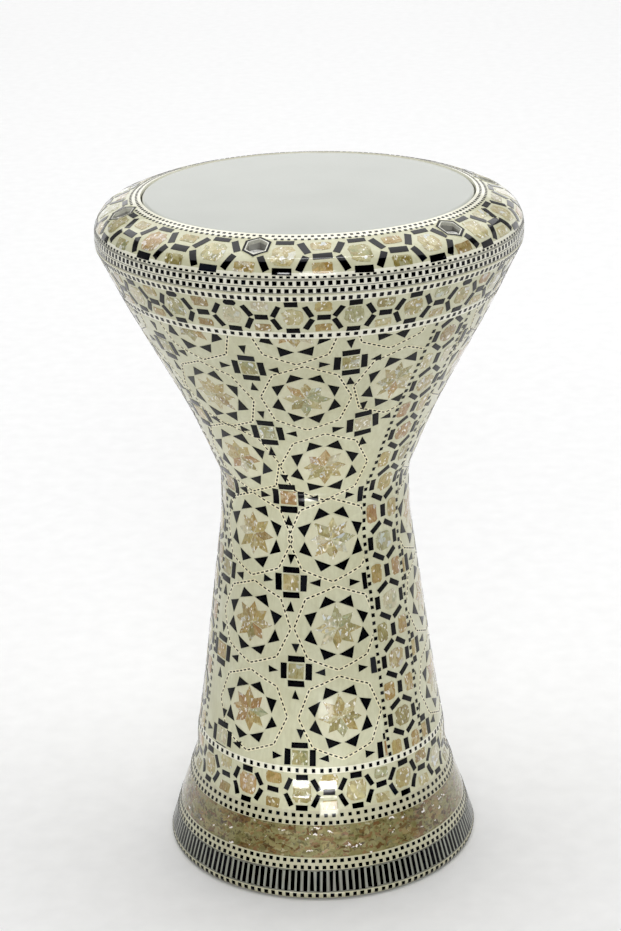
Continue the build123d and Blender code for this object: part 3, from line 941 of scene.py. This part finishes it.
def keep_in_field(shape):
    shape = clip(shape, lambda q: q[1], S_FIELD0 + 0.3, True)
    return clip(shape, lambda q: q[1], S_FIELD1 - 0.3, False)


def strip(name, bearing, seed, first):
    """A chain of upright hexagons between dotted borders; first is the middle of one of them."""
    dark, shell, gold = tile_layers(name, seed)
    rng = np.random.default_rng(seed + 3)
    jitter, wobbly, ragged = by_hand(rng)

    def put(target, u, s, shape, turn):
        b = strip_line(bearing, s) + degrees(u / float(GOBLET.radius(s)))
        target.tile(keep_in_field(at(GOBLET, b, s, wobbly(shape), turn)))

    count = int((S_FIELD1 - S_FIELD0) / DOT_PITCH)
    for side in (-1, 1):
        for k in range(count + 1):
            s = S_FIELD0 + 1.6 + (S_FIELD1 - S_FIELD0 - 3.2) * k / count
            put(dark, side * BORDER, s, bar(STRIP_DOT + jitter(0.2), STRIP_DOT + 0.1 + jitter(0.2)), jitter(4))
    mid = first - 2 * HEX_PITCH
    while mid < S_FIELD1 + HEX_PITCH:
        between = mid + HEX_PITCH / 2
        for side in (-1, 1):
            put(dark, side * (SIDE_BAR_AT + jitter(0.5)), mid + jitter(0.6), bar(*SIDE_BAR), jitter(5))
            for up in (-1, 1):
                put(dark, side * (LEAN_BAR_AT[0] + jitter(0.6)), mid + up * LEAN_BAR_AT[1] + jitter(0.5),
                    bar(*LEAN_BAR), -side * up * LEAN_ANGLE + jitter(7))
            put(gold if rng.random() < 0.85 else shell, side * (SIDE_PEARL_AT + jitter(0.5)), between + jitter(0.6),
                ragged(cut_bar(SIDE_PEARL[0] + jitter(0.8), SIDE_PEARL[1] + jitter(1.2), 1.5), 0.7), jitter(4))
        put(shell if rng.random() < 0.4 else gold, jitter(0.5), mid + jitter(0.5),
            ragged(cut_bar(HEX_PEARL + jitter(1.2), HEX_PEARL + jitter(1.2), 3.2), 1.2), jitter(5))
        put(dark, jitter(0.6), between + jitter(0.6), bar(*LINK_BAR), jitter(5))
        mid += HEX_PITCH
    for part in (dark, shell, gold):
        part.build()


strip("front_right_strip", FRONT_RIGHT, 71, S(157.5))
strip("front_left_strip", FRONT_LEFT, 76, S(160.0))
strip("rear_strip", REAR, 81, S(154.0))

# ---- panels
STAR_REACH = 29.6  # corners of the dashed octagon round a medallion
DASHES, DASH, LINE_WIDTH = 6, (2.2, 0.95), 2.3
TIP_BASE, TIP_TOP, TIP_HALF = 17.3, 24.0, 5.9
FIELD_REACH = 18.0
PETAL, PETAL_WAIST, PETAL_HALF = 15.6, 8.6, 3.7
SQUARE, SQUARE_BAR, SQUARE_BAR_AT = 10.6, (4.3, 11.5), 8.8
POINTER_TIP, POINTER_BASE, POINTER_HALF = 12.8, 20.0, 2.7


def turned(shape, angle):
    c, q = cos(radians(angle)), sin(radians(angle))
    return [(c * u - q * v, q * u + c * v) for u, v in shape]


def octagon(reach, lean=0.0):
    angles = [radians(45 * k + lean) for k in range(8)]
    return [(reach * cos(a), reach * sin(a)) for a in angles]


def panel(name, left, right, medallions, squares, seed):
    """One mosaic panel between two strips. Motifs are given as (bearing, z)."""
    dark, shell, gold = tile_layers(name, seed)
    bone = Layer(name + "_lines", "line", GOBLET, "goblet", LINE_LIFT, seed + 3)
    plate = Layer(name + "_fields", "field", GOBLET, "goblet", FIELD_LIFT, seed + 4)
    rng = np.random.default_rng(seed + 5)
    jitter, _, _ = by_hand(rng)

    def across(q, strip_bearing):
        return radians(q[0] - strip_line(strip_bearing, q[1])) * float(GOBLET.radius(q[1]))

    def put(target, bearing, s, shape, turn=0.0, seed=None):
        outline = keep_in_field(at(GOBLET, bearing, s, shape, turn))
        outline = clip(outline, lambda q: across(q, left), STRIP_EDGE, True)
        outline = clip(outline, lambda q: across(q, right), -STRIP_EDGE, False)
        target.tile(outline, seed)

    for bearing, z in medallions:
        s = S(z)
        lean = jitter(4.0)
        corners = octagon(STAR_REACH, lean * 0.3)
        for (x0, y0), (x1, y1) in zip(corners, corners[1:] + corners[:1]):
            length = hypot(x1 - x0, y1 - y0)
            heading = degrees(atan2(y1 - y0, x1 - x0))
            for i in range(DASHES):
                t = (i + 0.5) / DASHES
                mx, my = x0 + (x1 - x0) * t, y0 + (y1 - y0) * t
                for target, size in ((bone, (length / DASHES + 0.25, LINE_WIDTH)), (dark, DASH)):
                    put(target, bearing, s, [(u + mx, v + my) for u, v in turned(bar(*size), heading)])
        put(plate, bearing, s, octagon(FIELD_REACH), lean)
        for k in range(8):
            shape = [(TIP_BASE + jitter(0.8), -TIP_HALF + jitter(0.9)), (TIP_TOP + jitter(1.0), jitter(3.0)),
                     (TIP_BASE + jitter(0.8), TIP_HALF + jitter(0.9))]
            put(dark, bearing, s, turned(shape, 22.5 + 45 * k + lean))
        golden = 0.12 if -10.0 < bearing < 35.0 else 0.75 if -45.0 < bearing < -30.0 else 0.2 + 0.5 * rng.random()
        for k in range(8):
            angle = 45 * k + lean + jitter(7)
            reach = PETAL + jitter(3.4)
            tip, waist, half = (reach, jitter(0.8)), PETAL_WAIST + jitter(1.2), PETAL_HALF + jitter(0.7)
            target, tint = gold if rng.random() < golden else shell, rng.random(3)
            for side in (-1, 1):
                shape = turned([(0.6, 0.0), (waist, side * half), tip], angle)
                put(target, bearing, s, shape[::-side], seed=(tint[0] + 0.04 * side, tint[1], tint[2]))
    for bearing, z, *lean in squares:
        s = S(z)
        lean = sum(lean)
        put(shell if rng.random() < 0.7 else gold, bearing, s,
            bar(SQUARE + jitter(0.8), SQUARE + jitter(0.8)), lean + jitter(4))
        for k in range(4):
            shape = [(u + SQUARE_BAR_AT + jitter(0.4), v + jitter(0.6)) for u, v in bar(*SQUARE_BAR)]
            put(dark, bearing, s, turned(shape, lean + 90 * k + jitter(3)))
            shape = [(POINTER_TIP + jitter(0.8), jitter(0.8)),
                     (POINTER_BASE + jitter(1.0), -POINTER_HALF + jitter(0.6)),
                     (POINTER_BASE + jitter(1.0), POINTER_HALF + jitter(0.6))]
            put(dark, bearing, s, turned(shape, lean + 90 * k + jitter(4)))
    for part in (dark, shell, gold, bone, plate):
        part.build()


FRONT_MEDALLIONS = [(-37, 125), (10, 125), (-38, 188), (10, 188), (-40, 250), (9, 250), (-40, 308), (5, 306),
                    (-74, 362), (-72, 418), (-39, 359.5), (-2.5, 363), (30, 371), (-37, 414), (-5, 417), (24, 425)]
FRONT_SQUARES = [(-10, 97), (-54, 98), (-12, 158), (-61, 158), (-15, 220), (-63, 218), (-16, 280), (-62, 280),
                 (-20.3, 333), (20.8, 339, 9), (-58, 336), (-20.6, 386), (12.0, 390.5, 3), (-54, 390),
                 (35, 158), (35, 218), (35, 280), (34, 97)]


def repeated(centre):
    """The same rows of motifs, evenly set out about another panel's middle."""
    stars = [(centre + side * 23.5, z) for z in (125, 188, 250, 308) for side in (-1, 1)]
    stars += [(centre + 34 * k, 366) for k in (-1, 0, 1)] + [(centre + 32 * k, 412) for k in (-1, 0, 1)]
    plain = [(centre + 47 * k, z) for z in (97, 158, 218, 280) for k in (-1, 0, 1)]
    plain += [(centre + gap * (k - 0.5), z) for gap, z in ((37, 338), (33, 390)) for k in (-1, 0, 1, 2)]
    return stars, plain


panel("front_panel", FRONT_LEFT, FRONT_RIGHT, FRONT_MEDALLIONS, FRONT_SQUARES, 101)
panel("right_panel", FRONT_RIGHT, REAR, *repeated(102.5), 111)
panel("left_panel", REAR, FRONT_LEFT + 360.0, *repeated(219.5), 121)
lines.build()

# ---- carried-over CAD nodes
LOOKS = {
    "shell_casting": "cast", "tuning_ring_casting": "ringcast", "screw_well_frames": "frame",
    "screw_washers": "washer", "head_film": "film", "head_hoop": "hoop", "hoop_resin": "bed",
}
LOOKS.update(("tuning_screw_%d" % k, "steel") for k in range(1, 7))
for node, look in LOOKS.items():
    mesh = NODES[node].data
    mesh.materials.clear()
    mesh.materials.append(MAT[look])

# ---- floor, lights, camera
FLOOR_HALF, FLOOR_Z = 20.0, -0.0005
floor_mesh = bpy.data.meshes.new("floor")
floor_mesh.from_pydata([(x * FLOOR_HALF, y * FLOOR_HALF, FLOOR_Z) for x, y in ((-1, -1), (1, -1), (1, 1), (-1, 1))],
                       [], [(0, 1, 2, 3)])
FLOOR_SHADES = shades((0.3, 238, 238, 238), (0.8, 243, 243, 243))
floor_mesh.materials.append(cloudy_material("floor_paint", 60.0, FLOOR_SHADES, 0.7))
floor = add_object("floor", floor_mesh)

world = bpy.data.worlds.new("studio")
scene.world = world
world.use_nodes = True
background = world.node_tree.nodes["Background"].inputs
background[0].default_value = (1.0, 1.0, 1.0, 1.0)
background[1].default_value = 0.24

LIGHTS = [  # name, place, target, width, height, power in watts, spread in degrees
    # a white wall behind, a wide ceiling, side walls, and a weak front
    ("back_wall", (0.0, 4.6, 0.85), (0.0, 0.0, 0.75), 9.0, 1.8, 52.0, 180.0),
    ("ceiling", (0.0, 1.7, 2.6), (0.0, 1.7, 0.0), 5.0, 4.6, 96.0, 180.0),
    ("left_wall", (-2.0, 0.2, 0.7), (0.0, 0.0, 0.4), 2.0, 1.4, 2.0, 180.0),
    ("right_wall", (2.0, 0.4, 0.7), (0.0, 0.0, 0.4), 2.0, 1.4, 5.0, 180.0),
    ("front_fill", (0.2, -3.0, 1.9), (0.0, 0.0, 0.25), 1.0, 1.0, 24.0, 180.0),
    # small bright things that the gloss catches
    ("ceiling_tube", (0.1, -0.1, 2.2), (0.1, 0.0, 0.4), 1.0, 0.06, 3.0, 180.0),
    ("key", (-0.5, -2.0, 1.5), (0.0, 0.0, 0.3), 0.22, 0.22, 3.2, 180.0),
    # cards near the floor that only the hollows of the foot and the waist mirror
    ("low_left", (-0.078, -0.270, 0.0065), (-0.018, -0.088, 0.095), 0.062, 0.011, 0.008, 70.0),
    ("low_right", (0.020, -0.274, 0.0065), (0.004, -0.088, 0.095), 0.064, 0.011, 0.008, 70.0),
    ("low_card", (0.020, -0.272, 0.092), (0.004, -0.09, 0.065), 0.058, 0.014, 0.004, 60.0),
    ("waist_glint", (-0.056, -0.376, 0.040), (-0.010, -0.065, 0.280), 0.20, 0.055, 0.010, 25.0),
]
for name, place, target, width, height, power, spread in LIGHTS:
    light = bpy.data.lights.new(name, "AREA")
    light.shape = "RECTANGLE"
    light.size, light.size_y = width, height
    light.energy = power
    light.spread = radians(spread)
    lamp = add_object(name, light)
    lamp.location = place
    lamp.rotation_euler = (Vector(target) - Vector(place)).to_track_quat("-Z", "Y").to_euler()

LENS = 90.44
CAMERA_PLACE = Vector((0.0, -1.5098, 0.8524))
YAW, PITCH, ROLL = -0.11, 20.81, -1.41


yaw, pitch, roll = (radians(v) for v in (YAW, PITCH, ROLL))
ahead = Vector((sin(yaw) * cos(pitch), cos(yaw) * cos(pitch), -sin(pitch)))
right = ahead.cross(Vector((0, 0, 1))).normalized()
up = right.cross(ahead)
axes = cos(roll) * right + sin(roll) * up, -sin(roll) * right + cos(roll) * up, -ahead
camera_data = bpy.data.cameras.new("camera")
camera_data.sensor_width = 36.0
camera_data.lens = LENS
camera = add_object("camera", camera_data)
rotation = Matrix(axes).transposed().to_4x4()
camera.matrix_world = Matrix.Translation(CAMERA_PLACE) @ rotation
scene.camera = camera

view = scene.view_settings
view.view_transform = "Standard"
view.look = "None"
view.exposure = 0.08
view.use_curve_mapping = True
view.curve_mapping.black_level = (0.020, 0.020, 0.020)
view.curve_mapping.update()
